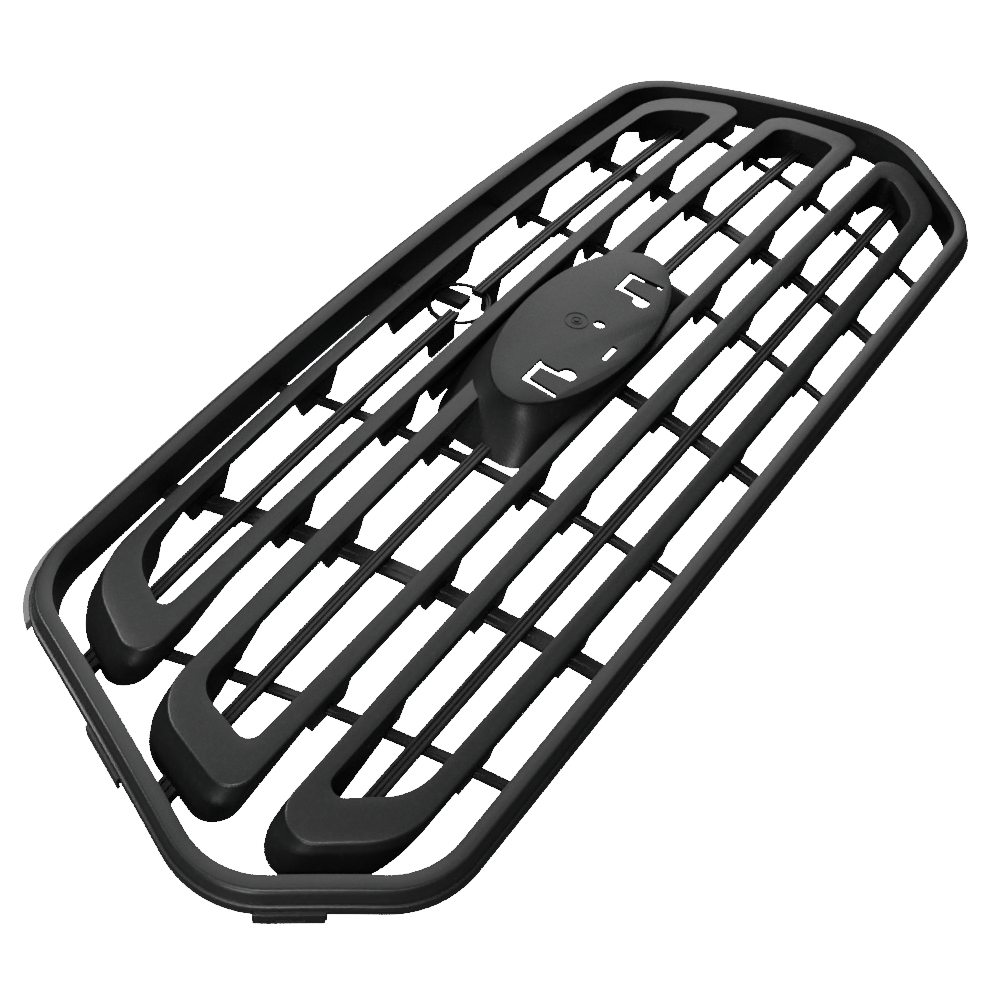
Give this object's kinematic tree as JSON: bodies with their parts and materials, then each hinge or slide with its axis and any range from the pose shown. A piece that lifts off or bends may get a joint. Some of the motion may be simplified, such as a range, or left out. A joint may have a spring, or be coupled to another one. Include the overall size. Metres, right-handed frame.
{
  "type": "front grille",
  "caption": "Curved front grille: surround, three bar loops crossed by fanned ribs, slender slats, oval badge seat and lock collar.",
  "frame": {"origin": "centre of the footprint, at the lowest points of the surround, which is how the grille lies on a floor with its front up", "axes": "+X along the width, +Y towards the top edge, +Z out of the front"},
  "size_m": [0.9774, 0.3784, 0.0985],
  "materials": {
    "surround_plastic": "fine-textured black moulding",
    "bar_plastic": "fine-textured black moulding",
    "rib_plastic": "smooth unpainted black moulding",
    "pod_plastic": "fine-textured black moulding"
  },
  "bodies": {
    "root": {"surround_frame": "surround_plastic", "top_flange": "surround_plastic", "upper_loop": "bar_plastic", "middle_loop": "bar_plastic", "lower_loop": "bar_plastic", "upper_slat_left": "bar_plastic", "upper_slat_right": "bar_plastic", "middle_slat_left": "bar_plastic", "middle_slat_right": "bar_plastic", "lower_slat": "bar_plastic", "rib_1": "rib_plastic", "rib_2": "rib_plastic", "rib_3": "rib_plastic", "rib_4": "rib_plastic", "rib_5": "rib_plastic", "rib_6": "rib_plastic", "rib_7": "rib_plastic", "badge_pod": "pod_plastic", "badge_plate": "pod_plastic", "lock_collar": "pod_plastic", "loop_struts": "bar_plastic", "side_tabs": "surround_plastic"}
  },
  "joints": []
}
